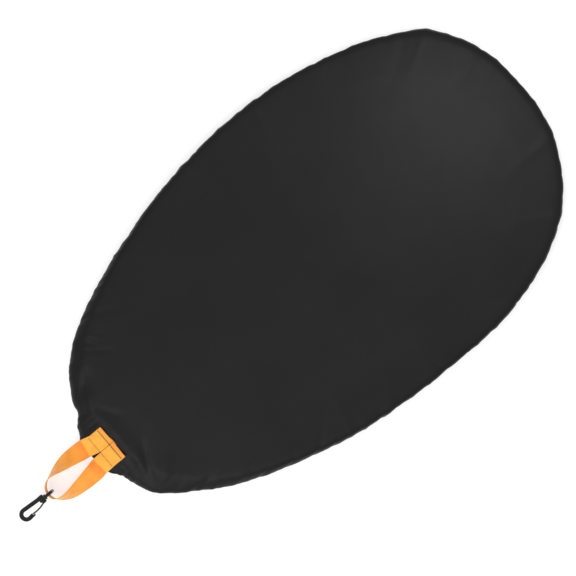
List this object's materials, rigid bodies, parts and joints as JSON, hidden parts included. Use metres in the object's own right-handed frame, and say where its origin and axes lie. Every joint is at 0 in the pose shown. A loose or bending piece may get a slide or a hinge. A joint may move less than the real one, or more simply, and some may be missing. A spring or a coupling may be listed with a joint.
{
  "type": "kayak cockpit cover",
  "caption": "Stretch-fit kayak cockpit cover: egg-shaped coated fabric deck, elastic bungee hem with cord lock, sewn webbing pull loop and swivel snap hook.",
  "frame": {"origin": "middle of the opening that grips the cockpit coaming, on the plane where the hem rests", "axes": "+Y along the cover from the pull loop at the narrow end to the wide end, +Z out of the weather face, +X to the right seen from above"},
  "size_m": [0.514, 1.0302, 0.0415],
  "materials": {
    "coated_nylon": "satin",
    "hem_nylon": "matte",
    "thread": "matte",
    "bungee": "matte",
    "black_plastic": "matte",
    "hook_plastic": "satin",
    "spring_steel": "satin",
    "orange_webbing": "matte"
  },
  "bodies": {
    "cover": {"deck_panel": "coated_nylon", "hem_casing": "hem_nylon", "hem_stitching": "thread", "bungee_cord": "bungee", "cord_end_caps": "black_plastic", "strap_tab": "orange_webbing", "strap_stitching": "thread"},
    "cord_lock": {"cord_lock_barrel": "black_plastic", "cord_lock_spring": "spring_steel"},
    "lock_plunger": {"cord_lock_plunger": "black_plastic"},
    "pull_strap": {"strap_loop": "orange_webbing"},
    "eye": {"swivel_eye": "hook_plastic"},
    "hook": {"hook_body": "hook_plastic"},
    "gate": {"hook_gate": "hook_plastic"}
  },
  "joints": [
    {"name": "strap_flap", "type": "hinge", "parent": "cover", "child": "pull_strap", "pos_m": [0.007, -0.46237, 0.02117], "axis": [-1, 0, 0], "range_deg": [-35, 100]},
    {"name": "eye_swing", "type": "hinge", "parent": "pull_strap", "child": "eye", "pos_m": [0.0045, -0.5465, 0.02], "axis": [0, 0, 1], "range_deg": [-30, 30]},
    {"name": "hook_swivel", "type": "hinge", "parent": "eye", "child": "hook", "pos_m": [0.0045, -0.565, 0.02], "axis": [0, 1, 0], "continuous": true},
    {"name": "gate_open", "type": "hinge", "parent": "hook", "child": "gate", "pos_m": [0.0098, -0.5676, 0.02], "axis": [0, 0, 1], "range_deg": [-20, 0], "stiffness_Nm_per_rad": 0.05},
    {"name": "cord_lock_slide", "type": "slide", "parent": "cover", "child": "cord_lock", "axis": [0, -1, 0], "range_m": [0, 0.035]},
    {"name": "plunger_press", "type": "slide", "parent": "cord_lock", "child": "lock_plunger", "axis": [-1, 0, 0], "range_m": [0, 0.0035], "stiffness_N_per_m": 400, "deforming": ["cord_lock_spring"]}
  ]
}
